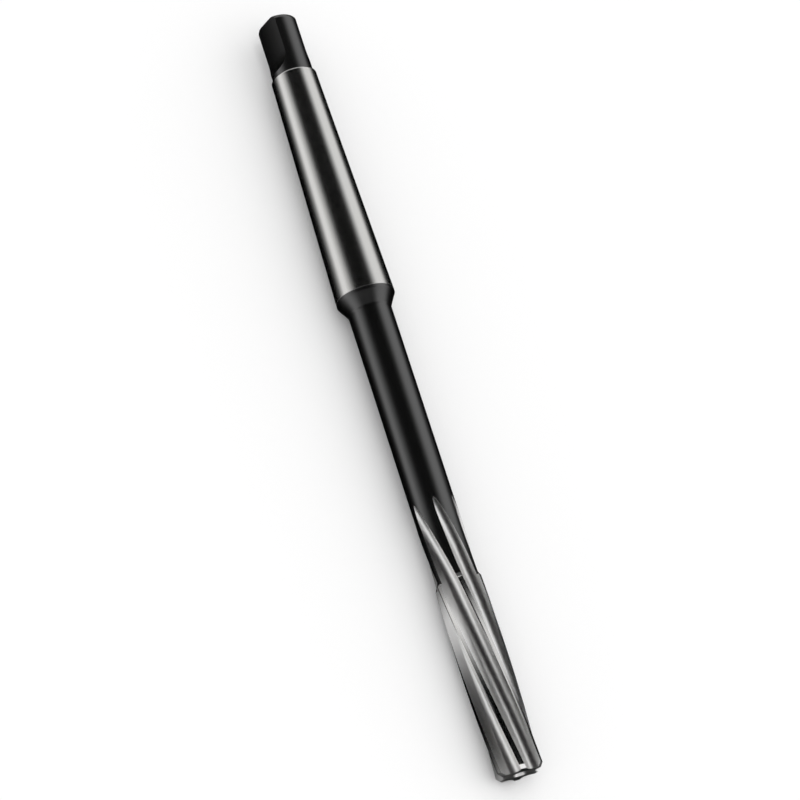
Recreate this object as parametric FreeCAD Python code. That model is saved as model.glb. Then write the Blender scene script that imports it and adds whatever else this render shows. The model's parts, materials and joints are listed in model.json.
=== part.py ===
"""Machine reamer, 10 mm, with a Morse taper No. 1 shank: one turned, milled and ground piece.

Every station is a distance along the axis from the tang end, in millimetres. The tool is
made upright, with the tang end at z = 0 and the cutting end up, and is then laid down as
it comes to rest on a bench: on the large end of its taper and on two of its teeth.
"""
import FreeCAD, Part
import math
import os

# Overall
overall_length = 168.0
cutting_diameter = 10.0

# Morse taper No. 1 shank with a tang, after DIN 228-1 form B
taper_rate = 1.0 / 20.047        # on diameter
gauge_diameter = 12.065
gauge_station = 62.0             # gauge plane, from the tang end
shank_length = 65.5              # to the large end
shank_end_corner = 0.15          # radius of the corner at the large end
shoulder_station = 13.3          # small end of the taper
shoulder_corner = 0.4
tang_shoulder = 0.468            # how far the tang is turned below the small end, on radius
tang_thickness = 5.2             # across the two flats
tang_flat_length = 8.5           # straight part of the flats
tang_runout_radius = 5.0         # cutter radius that the flats end in
tang_end_corner = 1.2

# Neck
neck_diameter = 9.03
neck_cone_half_angle = 30.0      # cone from the large end down to the neck
neck_cone_fillet = 0.8
neck_end_station = 127.3         # where the diameter steps up to the cutting part
step_half_angle = 25.0

# Flutes: a radial cutting face, a round root and a straight back
flute_count = 6
helix_lead = 231.0               # left-hand helix, for right-hand cutting
edge_phase = 2.2                 # angle of the first cutting edge at phase_station
phase_station = 148.0
land_width = 1.0
root_radius = 1.6
back_angle = 18.0                # the back's normal, turned from the edge's radius
runout_length = 17.7             # over which the flute climbs out onto the neck
runout_blend = 4.0               # over which the climb sets in
runout_turn = 8.0                # extra turn of the cutter as it climbs out
section_pitch = 3.0              # spacing of the sections along the helix

# Cutting edges
margin_width = 0.25              # circular land right behind the edge
relief_angle = 10.0               # clearance ground on the rest of the land
lead_chamfer = 0.8               # 45 degree bevel lead

# Centre holes of 60 degrees
cutting_centre_pilot = 1.6
cutting_centre_mouth = 3.0
tang_centre_pilot = 1.6
tang_centre_mouth = 3.35

# The flats' normal, as an angle about the axis
tang_flat_direction = 148.0

# At rest: which of the equal gaps between teeth faces the bench, and how finely the
# cutting edges are followed to find where they touch it
bench_gap = 4
edge_spacing = 1.0

AXIS = FreeCAD.Vector(0, 0, 1)
ORIGIN = FreeCAD.Vector(0, 0, 0)
clear = 2.0                      # how far cutting tools stand out past the metal

cutting_radius = cutting_diameter / 2
neck_radius = neck_diameter / 2
turn_per_mm = 360.0 / helix_lead


def taper_radius(station):
    """Radius of the Morse taper at a station."""
    return (gauge_diameter - (gauge_station - station) * taper_rate) / 2


tang_radius = taper_radius(shoulder_station) - tang_shoulder


def polar(radius, angle):
    """Point at a radius and an angle in degrees about the axis."""
    return FreeCAD.Vector(
        radius * math.cos(math.radians(angle)), radius * math.sin(math.radians(angle)), 0
    )


def edge_angle(station, tooth=0):
    """Angle of a cutting edge at a station."""
    return edge_phase - (station - phase_station) * turn_per_mm + tooth * 360.0 / flute_count


def revolve_profile(points):
    """Solid of revolution about the axis from (radius, station) points."""
    corners = [FreeCAD.Vector(radius, 0, station) for radius, station in points]
    face = Part.Face(Part.makePolygon(corners + corners[:1]))
    return face.revolve(ORIGIN, AXIS, 360)


def edges_at(shape, station, radius):
    """The circular edges of a turned shape at one corner."""
    found = []
    for edge in shape.Edges:
        if edge.Curve.TypeId != "Part::GeomCircle":
            continue
        same_height = abs(edge.Curve.Center.z - station) < 1e-6
        if same_height and abs(edge.Curve.Radius - radius) < 1e-6:
            found.append(edge)
    return found


def turned_blank():
    """The blank as turned: tang, taper, neck and cutting part."""
    large_radius = taper_radius(shank_length)
    cone_length = (large_radius - neck_radius) / math.tan(math.radians(neck_cone_half_angle))
    step_length = (cutting_radius - neck_radius) / math.tan(math.radians(step_half_angle))
    shoulder_radius = taper_radius(shoulder_station)
    neck_start = shank_length + cone_length
    blank = revolve_profile([
        (0, 0),
        (tang_radius, 0),
        (tang_radius, shoulder_station),
        (shoulder_radius, shoulder_station),
        (large_radius, shank_length),
        (neck_radius, neck_start),
        (neck_radius, neck_end_station),
        (cutting_radius, neck_end_station + step_length),
        (cutting_radius, overall_length - lead_chamfer),
        (cutting_radius - lead_chamfer, overall_length),
        (0, overall_length),
    ])
    corners = [
        (tang_end_corner, 0, tang_radius),
        (shoulder_corner, shoulder_station, shoulder_radius),
        (shank_end_corner, shank_length, large_radius),
        (neck_cone_fillet, neck_start, neck_radius),
    ]
    for size, station, radius in corners:
        blank = blank.makeFillet(size, edges_at(blank, station, radius))
    return blank


def tang_flat_cutter():
    """What a milling cutter takes off one side of the tang."""
    half = tang_thickness / 2
    reach = 2 * tang_radius
    centre_station = tang_flat_length
    centre_offset = half + tang_runout_radius
    lower = FreeCAD.Vector(half, 0, -clear)
    start = FreeCAD.Vector(half, 0, centre_station)
    quarter = math.radians(45)
    middle = FreeCAD.Vector(
        centre_offset - tang_runout_radius * math.cos(quarter),
        0,
        centre_station + tang_runout_radius * math.sin(quarter),
    )
    end = FreeCAD.Vector(centre_offset, 0, centre_station + tang_runout_radius)
    outer = FreeCAD.Vector(centre_offset, 0, -clear)
    wire = Part.Wire([
        Part.makeLine(lower, start),
        Part.Arc(start, middle, end).toShape(),
        Part.makeLine(end, outer),
        Part.makeLine(outer, lower),
    ])
    cutter = Part.Face(wire).extrude(FreeCAD.Vector(0, 2 * reach, 0))
    cutter.translate(FreeCAD.Vector(0, -reach, 0))
    return cutter


def mill_tang(blank):
    """The two flats that the drift and the socket's slot take hold of."""
    for side in (0, 180):
        cutter = tang_flat_cutter()
        cutter.rotate(ORIGIN, AXIS, tang_flat_direction + side)
        blank = blank.cut(cutter)
    return blank


def cutting_start():
    """Station where the cutting part reaches its full diameter."""
    step = (cutting_radius - neck_radius) / math.tan(math.radians(step_half_angle))
    return neck_end_station + step


def stations(first, last, spacing):
    """Evenly spaced stations from first to last, no further apart than the spacing."""
    count = math.ceil((last - first) / spacing)
    return [first + (last - first) * i / count for i in range(count + 1)]


def helical_cutter(outline, first, last):
    """Solid lofted through an outline that turns with the helix."""
    sections = [outline(station) for station in stations(first, last, section_pitch)]
    return Part.makeLoft(sections, True)


def cut_every_tooth(blank, cutter):
    """The blank after the same cut at each tooth."""
    for tooth in range(flute_count):
        turned = cutter.copy()
        turned.rotate(ORIGIN, AXIS, tooth * 360.0 / flute_count)
        blank = blank.cut(turned)
    return blank


def root_centre_point():
    """Centre of the flute's round root, with the cutting edge along +X."""
    heel = polar(cutting_radius, 360.0 / flute_count - math.degrees(land_width / cutting_radius))
    normal = polar(1, -back_angle)
    along_edge = (normal.dot(heel) + root_radius * (1 - normal.y)) / normal.x
    return FreeCAD.Vector(along_edge, root_radius, 0)


def runout_state(station):
    """How far the cutter is lifted and turned where the flute climbs out."""
    climbed = max(0.0, cutting_start() - station)
    depth = neck_radius - (root_centre_point().Length - root_radius)
    slope = depth / (runout_length - runout_blend / 2)
    if climbed < runout_blend:
        lift = slope * climbed ** 2 / (2 * runout_blend)
    else:
        lift = slope * (climbed - runout_blend / 2)
    return lift, runout_turn * climbed / runout_length


def flute_section(station):
    """Outline of the metal that leaves the flute at one station.

    It is drawn beside a cutting edge that points along +X, with the flute on the side of
    rising angles: the radial face, the round root tangent to it, and the straight back up
    to the heel of the tooth before.
    """
    normal = polar(1, -back_angle)
    along = polar(1, 90 - back_angle)
    root_centre = root_centre_point()
    face_foot = FreeCAD.Vector(root_centre.x, 0, 0)
    root_bottom = root_centre - polar(root_radius, (90 - back_angle) / 2)
    back_foot = root_centre - normal * root_radius
    outside = cutting_radius + clear
    back_top = back_foot + along * outside
    face_top = FreeCAD.Vector(outside, 0, 0)
    far_corner = FreeCAD.Vector(outside, back_top.y, 0)
    wire = Part.Wire([
        Part.makeLine(face_top, face_foot),
        Part.Arc(face_foot, root_bottom, back_foot).toShape(),
        Part.makeLine(back_foot, back_top),
        Part.makeLine(back_top, far_corner),
        Part.makeLine(far_corner, face_top),
    ])
    lift, extra_turn = runout_state(station)
    root_direction = math.degrees(math.atan2(root_centre.y, root_centre.x))
    wire.translate(polar(lift, root_direction))
    return at_helix(wire, station, extra_turn)


def at_helix(wire, station, extra_turn=0.0):
    """An outline drawn beside the edge along +X, brought to its station on the helix."""
    wire.rotate(ORIGIN, AXIS, edge_angle(station) + extra_turn)
    wire.translate(FreeCAD.Vector(0, 0, station))
    return wire


def relief_line():
    """Where the clearance starts behind the margin, and the direction it is ground in."""
    margin_angle = math.degrees(margin_width / cutting_radius)
    margin_end = polar(cutting_radius, -margin_angle)
    return margin_end, polar(1, -margin_angle - 90 - relief_angle)


def relief_section(station):
    """Outline of the metal that the clearance takes off a land, behind its margin."""
    margin_end, inward = relief_line()
    first = margin_end - inward * margin_width
    last = margin_end + inward * land_width
    outward = FreeCAD.Vector(clear, 0, 0)
    wire = Part.makePolygon([first, last, last + outward, first + outward, first])
    return at_helix(wire, station)


def grind_teeth(blank):
    """Six flutes that climb out onto the neck, then the clearance on each land."""
    past_end = overall_length + clear
    first = cutting_start() - runout_length - clear
    blank = cut_every_tooth(blank, helical_cutter(flute_section, first, past_end))
    relief = helical_cutter(relief_section, neck_end_station - clear, past_end)
    return cut_every_tooth(blank, relief)


def centre_hole(pilot, mouth):
    """Drilled centre, opening at z = 0 and going up: a 60 degree seat and its pilot."""
    seat_depth = (mouth - pilot) / 2 / math.tan(math.radians(30))
    pilot_end = seat_depth + pilot
    drill_tip = pilot_end + pilot / 2 / math.tan(math.radians(59))
    return revolve_profile([
        (0, 0),
        (mouth / 2, 0),
        (pilot / 2, seat_depth),
        (pilot / 2, pilot_end),
        (0, drill_tip),
    ])


def drill_centres(blank):
    """The centres that the tool is ground between."""
    far = centre_hole(cutting_centre_pilot, cutting_centre_mouth)
    far.rotate(ORIGIN, FreeCAD.Vector(1, 0, 0), 180)
    far.translate(FreeCAD.Vector(0, 0, overall_length))
    return blank.cut(centre_hole(tang_centre_pilot, tang_centre_mouth)).cut(far)


def land_corners():
    """Radius and angle of a land's corners beside the edge: edge, margin end and heel."""
    edge = polar(cutting_radius, 0)
    margin_end, inward = relief_line()
    heel = margin_end + inward * (land_width - margin_width)
    corners = [edge, margin_end, heel]
    return [(corner.Length, math.degrees(math.atan2(corner.y, corner.x))) for corner in corners]


def bench_slope(direction):
    """Slope of the tool when the side at this angle faces the bench.

    The tool leans on the large end of its taper and tips until the first point of a land
    touches. The slope is the least one that any of those points allows.
    """
    least = math.inf
    rim = taper_radius(shank_length)
    corners = land_corners()
    for station in stations(cutting_start(), overall_length - lead_chamfer, edge_spacing):
        for tooth in range(flute_count):
            for radius, beside in corners:
                away = math.radians(edge_angle(station, tooth) + beside - direction)
                drop = rim - radius * math.cos(away)
                least = min(least, drop / (station - shank_length))
    return least


def lay_down(tool):
    """The tool as it lies still: tip along +X, where rolling either way would lift it."""
    gap = 360.0 / flute_count
    tries = 240
    directions = [gap * (bench_gap + i / tries) for i in range(tries)]
    down = max(directions, key=bench_slope)
    pitch = math.atan(bench_slope(down))
    rim = taper_radius(shank_length)
    lift = rim * math.cos(pitch) + shank_length * math.sin(pitch)
    tool.rotate(ORIGIN, AXIS, -down)
    tool.rotate(ORIGIN, FreeCAD.Vector(0, 1, 0), 90 + math.degrees(pitch))
    box = tool.optimalBoundingBox(False, False)
    tool.translate(FreeCAD.Vector(-box.Center.x, -box.Center.y, lift))
    return tool


def reamer():
    """The whole tool."""
    return lay_down(drill_centres(grind_teeth(mill_tang(turned_blank()))))


os.makedirs("parts", exist_ok=True)
reamer().exportStep("parts/machine_reamer.step")
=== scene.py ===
import bpy
import json
import math
from mathutils import Matrix, Vector


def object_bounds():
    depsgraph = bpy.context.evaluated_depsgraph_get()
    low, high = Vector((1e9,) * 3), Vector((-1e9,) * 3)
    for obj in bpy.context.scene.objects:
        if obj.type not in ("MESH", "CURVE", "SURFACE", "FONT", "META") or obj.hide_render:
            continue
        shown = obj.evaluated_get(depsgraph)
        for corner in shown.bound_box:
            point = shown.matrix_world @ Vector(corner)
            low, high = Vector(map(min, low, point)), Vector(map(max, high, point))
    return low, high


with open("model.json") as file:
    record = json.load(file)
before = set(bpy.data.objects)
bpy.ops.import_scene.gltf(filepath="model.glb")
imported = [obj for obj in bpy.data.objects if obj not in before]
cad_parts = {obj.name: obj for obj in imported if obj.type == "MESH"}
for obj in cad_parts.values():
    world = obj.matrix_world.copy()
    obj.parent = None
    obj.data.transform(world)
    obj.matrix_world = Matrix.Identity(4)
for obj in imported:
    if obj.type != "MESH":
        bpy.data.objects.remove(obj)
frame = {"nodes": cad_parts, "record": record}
cad_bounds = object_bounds()

# ---- The tool ---------------------------------------------------------------------------
# One bar of high speed steel, turned, hardened and blackened all over. The taper, the
# cutting edges and the flutes are then ground bright, so the black oxide is left on the
# tang, on the neck and on the band at the taper's large end. The flutes' colour is painted
# lighter still than the other bright steel, as painted light for the light they catch.
mounts = {mount["name"]: mount for mount in frame["record"]["mounts"]}
TIP = Vector(mounts["cutting_part"]["pos_m"])
AXIS = Vector(mounts["cutting_part"]["axis"])
TAPER_SMALL_END = 0.1547        # distances back from the tip, in metres
TAPER_LARGE_END = 0.1032
CUTTING_START = 0.0399
NECK_SURFACE = 0.00448          # metal further out than these is neck or land, not flute
LAND_SURFACE = 0.00489
FLUTE_LEAD = -0.231             # left-hand
FINISH_EDGE = 0.00005           # half the width over which one finish gives way to another
FLUTE_EDGE = 0.00001            # the same, measured inwards from the surface

STEEL_DULL = (0.58, 0.575, 0.56, 1)
STEEL_BRIGHT = (0.72, 0.715, 0.70, 1)
# The flutes' ground steel with painted light: its colour is set far lighter than the other
# bright steel, to stand in for the light the flutes catch.
FLUTE_STEEL_AND_PAINTED_LIGHT = (0.95, 0.945, 0.935, 1)
OXIDE = (0.001, 0.001, 0.001, 1)
OXIDE_WORN = (0.003, 0.003, 0.003, 1)
DULL_ROUGHNESS = 0.27
BRIGHT_ROUGHNESS = 0.2
FLUTE_ROUGHNESS = 0.36
OXIDE_ROUGHNESS = 0.3
OXIDE_IOR = 2.0
ANISOTROPY = 0.4

ROUND_LINES_PER_METRE = 7000
HELIX_LINES_PER_METRE = 5000
HELIX_BREAKS_PER_METRE = 60
GRAIN_PER_METRE = 2500
TEXTURE_STRENGTH = 0.25
TEXTURE_HEIGHT = 0.000004

# Where a mix node of each kind has its factor, its two inputs and its output.
MIX_SOCKETS = {"FLOAT": (0, 2, 3, 0), "VECTOR": (0, 4, 5, 1), "RGBA": (0, 6, 7, 2)}


def add_node(tree, kind, inputs=(), **settings):
    """A node with its settings, and each (socket, value or output socket) of its inputs."""
    node = tree.nodes.new(kind)
    for key, value in settings.items():
        setattr(node, key, value)
    for socket, value in inputs:
        if isinstance(value, bpy.types.NodeSocket):
            tree.links.new(value, node.inputs[socket])
        else:
            node.inputs[socket].default_value = value
    return node


def math_of(tree, operation, first, second=0.0):
    """Output of a math node."""
    node = add_node(tree, "ShaderNodeMath", ((0, first), (1, second)), operation=operation)
    return node.outputs[0]


def vector_of(tree, operation, first, second=(0, 0, 0), result="Vector"):
    """Output of a vector math node."""
    node = add_node(tree, "ShaderNodeVectorMath", ((0, first), (1, second)),
                    operation=operation)
    return node.outputs[result]


def scaled(tree, vector, factor):
    """A vector times a number."""
    node = add_node(tree, "ShaderNodeVectorMath", ((0, vector), ("Scale", factor)),
                    operation="SCALE")
    return node.outputs["Vector"]


def mix_of(tree, kind, factor, first, second):
    """First where the factor is 0, second where it is 1, and a blend between them."""
    factor_in, first_in, second_in, out = MIX_SOCKETS[kind]
    node = add_node(tree, "ShaderNodeMix",
                    ((factor_in, factor), (first_in, first), (second_in, second)),
                    data_type=kind)
    return node.outputs[out]


def ramp_between(tree, value, low, high):
    """0 on the low side, 1 on the high side, and smooth between them."""
    node = add_node(tree, "ShaderNodeMapRange",
                    (("Value", value), ("From Min", low), ("From Max", high)),
                    interpolation_type="SMOOTHSTEP")
    return node.outputs["Result"]


def place_on_tool(tree, point):
    """Where a point is on the tool.

    Gives its distance back from the tip, its radius, the direction round the tool, and its
    place across the tool with the twist of the flutes taken out.
    """
    offset = vector_of(tree, "SUBTRACT", TIP, point)
    back = vector_of(tree, "DOT_PRODUCT", offset, AXIS, "Value")
    radial = vector_of(tree, "SUBTRACT", scaled(tree, AXIS, back), offset)
    radius = vector_of(tree, "LENGTH", radial, result="Value")
    around = vector_of(tree, "NORMALIZE", vector_of(tree, "CROSS_PRODUCT", AXIS, radial))
    turns = math_of(tree, "DIVIDE", back, FLUTE_LEAD)
    untwisted = add_node(tree, "ShaderNodeVectorRotate",
                         (("Vector", radial), ("Axis", AXIS),
                          ("Angle", math_of(tree, "MULTIPLY", turns, math.tau))),
                         rotation_type="AXIS_ANGLE")
    return back, radius, around, untwisted.outputs["Vector"]


def grinding_lines_group():
    """Grinding lines: streaks that are long one way and fine the other, from 0 to 1."""
    group = bpy.data.node_groups.new("Grinding lines", "ShaderNodeTree")
    for label, kind in (("Across", "NodeSocketVector"), ("Along", "NodeSocketFloat"),
                        ("Lines per metre", "NodeSocketFloat"),
                        ("Breaks per metre", "NodeSocketFloat")):
        group.interface.new_socket(label, in_out="INPUT", socket_type=kind)
    group.interface.new_socket("Lines", in_out="OUTPUT", socket_type="NodeSocketFloat")
    start = group.nodes.new("NodeGroupInput")
    end = group.nodes.new("NodeGroupOutput")
    across = scaled(group, start.outputs["Across"], start.outputs["Lines per metre"])
    breaks = math_of(group, "MULTIPLY", start.outputs["Along"],
                     start.outputs["Breaks per metre"])
    noise = add_node(group, "ShaderNodeTexNoise",
                     (("Vector", across), ("W", breaks), ("Scale", 1.0), ("Detail", 3.0),
                      ("Roughness", 0.6)), noise_dimensions="4D")
    group.links.new(noise.outputs["Fac"], end.inputs["Lines"])
    return group


def reamer_steel():
    """Bright ground steel and black oxide, each where the real tool has it."""
    material = bpy.data.materials.new("reamer_steel")
    material.use_nodes = True
    tree = material.node_tree
    tree.nodes.clear()
    point = add_node(tree, "ShaderNodeTexCoord").outputs["Object"]
    back, radius, around, untwisted = place_on_tool(tree, point)

    # A flute is what lies deeper than the neck or the lands round it.
    neck_side = ramp_between(tree, back, CUTTING_START - FINISH_EDGE,
                             CUTTING_START + FINISH_EDGE)
    surface = mix_of(tree, "FLOAT", neck_side, LAND_SURFACE, NECK_SURFACE)
    deep = ramp_between(tree, math_of(tree, "SUBTRACT", surface, radius),
                        -FLUTE_EDGE, FLUTE_EDGE)
    ahead_of_taper = ramp_between(tree, back, TAPER_LARGE_END - FINISH_EDGE,
                                  TAPER_LARGE_END - 2 * FINISH_EDGE)
    flute = math_of(tree, "MULTIPLY", deep, ahead_of_taper)

    # Black oxide: the tang, and from the taper's large end to the cutting part outside the
    # flutes.
    tang = ramp_between(tree, back, TAPER_SMALL_END - FINISH_EDGE,
                        TAPER_SMALL_END + FINISH_EDGE)
    taper_side = ramp_between(tree, back, TAPER_LARGE_END + FINISH_EDGE,
                              TAPER_LARGE_END - FINISH_EDGE)
    neck = math_of(tree, "MULTIPLY", math_of(tree, "MULTIPLY", neck_side, taper_side),
                   math_of(tree, "SUBTRACT", 1.0, deep))
    black = math_of(tree, "MAXIMUM", tang, neck)

    # Lines left by grinding: round the taper, and along the flutes and lands.
    lines = grinding_lines_group()
    stations = add_node(tree, "ShaderNodeCombineXYZ", (("X", back),)).outputs["Vector"]
    round_lines = add_node(tree, "ShaderNodeGroup",
                           (("Across", stations), ("Lines per metre", ROUND_LINES_PER_METRE)),
                           node_tree=lines)
    helix_lines = add_node(tree, "ShaderNodeGroup",
                           (("Across", untwisted), ("Along", back),
                            ("Lines per metre", HELIX_LINES_PER_METRE),
                            ("Breaks per metre", HELIX_BREAKS_PER_METRE)), node_tree=lines)
    ground = mix_of(tree, "FLOAT", ahead_of_taper, round_lines.outputs["Lines"],
                    helix_lines.outputs["Lines"])
    grain = add_node(tree, "ShaderNodeTexNoise",
                     (("Vector", point), ("Scale", GRAIN_PER_METRE),
                      ("Detail", 4.0))).outputs["Fac"]

    steel_colour = mix_of(tree, "RGBA", ground, STEEL_DULL, STEEL_BRIGHT)
    # Painted light: the flutes take a much lighter steel colour than the rest of the bare
    # steel, standing in for the light they catch.
    bare_colour = mix_of(tree, "RGBA", flute, steel_colour, FLUTE_STEEL_AND_PAINTED_LIGHT)
    oxide_colour = mix_of(tree, "RGBA", grain, OXIDE, OXIDE_WORN)
    steel_roughness = mix_of(tree, "FLOAT", ground, DULL_ROUGHNESS, BRIGHT_ROUGHNESS)
    bare_roughness = mix_of(tree, "FLOAT", flute, steel_roughness, FLUTE_ROUGHNESS)
    bump = add_node(tree, "ShaderNodeBump",
                    (("Strength", TEXTURE_STRENGTH), ("Distance", TEXTURE_HEIGHT),
                     ("Height", mix_of(tree, "FLOAT", black, ground, grain))))
    shader = add_node(tree, "ShaderNodeBsdfPrincipled",
                      (("Base Color", mix_of(tree, "RGBA", black, bare_colour, oxide_colour)),
                       ("Metallic", math_of(tree, "SUBTRACT", 1.0, black)),
                       ("Roughness", mix_of(tree, "FLOAT", black, bare_roughness,
                                            OXIDE_ROUGHNESS)),
                       ("Normal", bump.outputs["Normal"]),
                       ("Tangent", mix_of(tree, "VECTOR", flute, AXIS, around)),
                       ("Anisotropic", ANISOTROPY), ("IOR", OXIDE_IOR)))
    end = add_node(tree, "ShaderNodeOutputMaterial")
    tree.links.new(shader.outputs["BSDF"], end.inputs["Surface"])
    return material


tool = frame["nodes"]["machine_reamer"]
tool.data.materials.clear()
tool.data.materials.append(reamer_steel())

# ---- Floor ------------------------------------------------------------------------------
# The bench top that the tool lies on. It is one plain sheet, white and matt, so that all it
# shows is the tool's own soft shadow.
BENCH_SIZE = 4
BENCH_ROUGHNESS = 0.9
bench_top = cad_bounds[0].z
bench_material = bpy.data.materials.new("bench")
bench_material.use_nodes = True
bench_shader = bench_material.node_tree.nodes["Principled BSDF"]
bench_shader.inputs["Base Color"].default_value = (1, 1, 1, 1)
bench_shader.inputs["Roughness"].default_value = BENCH_ROUGHNESS
bench_shader.inputs["Specular IOR Level"].default_value = 0.0
bpy.ops.mesh.primitive_plane_add(size=BENCH_SIZE, location=(0, 0, bench_top))
bench = bpy.context.object
bench.name = "bench"
bench.data.materials.append(bench_material)

# ---- Flags ------------------------------------------------------------------------------
# Black studio cards that only reflections see. They leave two bright gaps, low in front of
# the tool and high behind it, which are the two soft streaks along the bright steel.
CARD_DISTANCE = 0.6
CARD_REACH = (-0.9, 0.7)            # along the tool
FLAG_ABOVE = (52, 84, 140, 184)     # degrees where it is clear, solid, solid and clear
FLAG_BEHIND = (-2, -1, 2, 30)
ARC_STEPS = 96
BENCH_CARD_FADE = (-0.032, -0.008)  # y where it is clear and where it is solid
BENCH_CARD_STEPS = 40
BENCH_CARD_LIFT = 0.0001


def card_material():
    """Black where the card is solid and clear where it has faded out."""
    material = bpy.data.materials.new("black_card")
    material.use_nodes = True
    tree = material.node_tree
    tree.nodes.clear()
    cover = add_node(tree, "ShaderNodeAttribute", attribute_name="cover")
    clear = add_node(tree, "ShaderNodeBsdfTransparent")
    solid = add_node(tree, "ShaderNodeEmission", (("Strength", 0.0),))
    mix = add_node(tree, "ShaderNodeMixShader",
                   ((0, cover.outputs["Fac"]), (1, clear.outputs["BSDF"]),
                    (2, solid.outputs["Emission"])))
    end = add_node(tree, "ShaderNodeOutputMaterial")
    tree.links.new(mix.outputs["Shader"], end.inputs["Surface"])
    return material


def smooth(value):
    """0 to 1 with level ends."""
    value = min(1.0, max(0.0, value))
    return value * value * (3 - 2 * value)


def card(name, path, cover, material):
    """A long card whose section is a path of (y, z) points, each with its cover, 0 to 1."""
    verts = [(x, y, z) for y, z in path for x in CARD_REACH]
    faces = [(i, i + 1, i + 3, i + 2) for i in range(0, len(verts) - 2, 2)]
    mesh = bpy.data.meshes.new(name)
    mesh.from_pydata(verts, [], faces)
    mesh.materials.append(material)
    point_cover = mesh.attributes.new("cover", "FLOAT", "POINT")
    for i in range(len(verts)):
        point_cover.data[i].value = cover[i // 2]
    flag = bpy.data.objects.new(name, mesh)
    bpy.context.scene.collection.objects.link(flag)
    for kind in ("camera", "diffuse", "transmission", "volume_scatter", "shadow"):
        setattr(flag, "visible_" + kind, False)


def arc_card(name, edges, material):
    """A card bent round the tool, between elevations from +Y over the top to -Y."""
    start, solid_from, solid_to, end = edges
    angles = [start + (end - start) * i / ARC_STEPS for i in range(ARC_STEPS + 1)]
    path = [(CARD_DISTANCE * math.cos(math.radians(angle)),
             CARD_DISTANCE * math.sin(math.radians(angle))) for angle in angles]
    cover = [smooth((angle - start) / (solid_from - start))
             * smooth((end - angle) / (end - solid_to)) for angle in angles]
    card(name, path, cover, material)


def bench_card(name, fade, material):
    """A card on the bench, clear in front of the tool and solid from under it backwards."""
    height = bench_top + BENCH_CARD_LIFT
    shares = [i / BENCH_CARD_STEPS for i in range(BENCH_CARD_STEPS + 1)]
    path = [(fade[0] + (fade[1] - fade[0]) * share, height) for share in shares]
    cover = [smooth(share) for share in shares]
    card(name, path + [(CARD_DISTANCE, height)], cover + [1.0], material)


black_card = card_material()
arc_card("flag_above", FLAG_ABOVE, black_card)
arc_card("flag_behind", FLAG_BEHIND, black_card)
bench_card("flag_on_bench", BENCH_CARD_FADE, black_card)

# ---- Light ------------------------------------------------------------------------------
# A white studio all round, and a broad soft lamp overhead that grounds the tool. The lamp
# isn't seen in the steel, which would show it as a hard spot.
STUDIO_STRENGTH = 0.95
LAMP_SIZE = 0.8
LAMP_RADIANCE = 0.6
LAMP_PLACE = (0.1, -0.3, 1.2)
studio = bpy.data.worlds.new("studio")
studio.use_nodes = True
studio.node_tree.nodes["Background"].inputs["Color"].default_value = (1, 1, 1, 1)
studio.node_tree.nodes["Background"].inputs["Strength"].default_value = STUDIO_STRENGTH
bpy.context.scene.world = studio
lamp = bpy.data.lights.new("lamp_above", "AREA")
lamp.shape = "SQUARE"
lamp.size = LAMP_SIZE
lamp.energy = LAMP_RADIANCE * math.pi * LAMP_SIZE ** 2
lamp_above = bpy.data.objects.new("lamp_above", lamp)
lamp_above.location = LAMP_PLACE
lamp_above.rotation_euler = (-lamp_above.location).to_track_quat("-Z", "Y").to_euler()
lamp_above.visible_glossy = False
bpy.context.scene.collection.objects.link(lamp_above)

# ---- Camera -----------------------------------------------------------------------------
# A long lens that looks down on the tool from beyond its tip, turned so that the tool
# stands nearly upright in the picture.
CAMERA_AIM = Vector((0.00414, 0.00024, 0.00596))
CAMERA_DISTANCE = 0.62624
CAMERA_AZIMUTH = 35.265
CAMERA_ELEVATION = 53.256
CAMERA_ROLL = 41.988
CAMERA_LENS = 140.96
CAMERA_SENSOR = 36
azimuth = math.radians(CAMERA_AZIMUTH)
elevation = math.radians(CAMERA_ELEVATION)
to_camera = Vector((math.sin(azimuth) * math.cos(elevation),
                    -math.cos(azimuth) * math.cos(elevation),
                    math.sin(elevation)))
level = (-to_camera).to_track_quat("-Z", "Y").to_matrix()
rolled = level @ Matrix.Rotation(math.radians(CAMERA_ROLL), 3, "Z")
camera = bpy.data.cameras.new("camera")
camera.sensor_width = CAMERA_SENSOR
camera.lens = CAMERA_LENS
camera_object = bpy.data.objects.new("camera", camera)
camera_object.matrix_world = Matrix.LocRotScale(
    CAMERA_AIM + to_camera * CAMERA_DISTANCE, rolled.to_quaternion(), (1, 1, 1))
bpy.context.scene.collection.objects.link(camera_object)
bpy.context.scene.camera = camera_object
bpy.context.scene.view_settings.view_transform = "Standard"
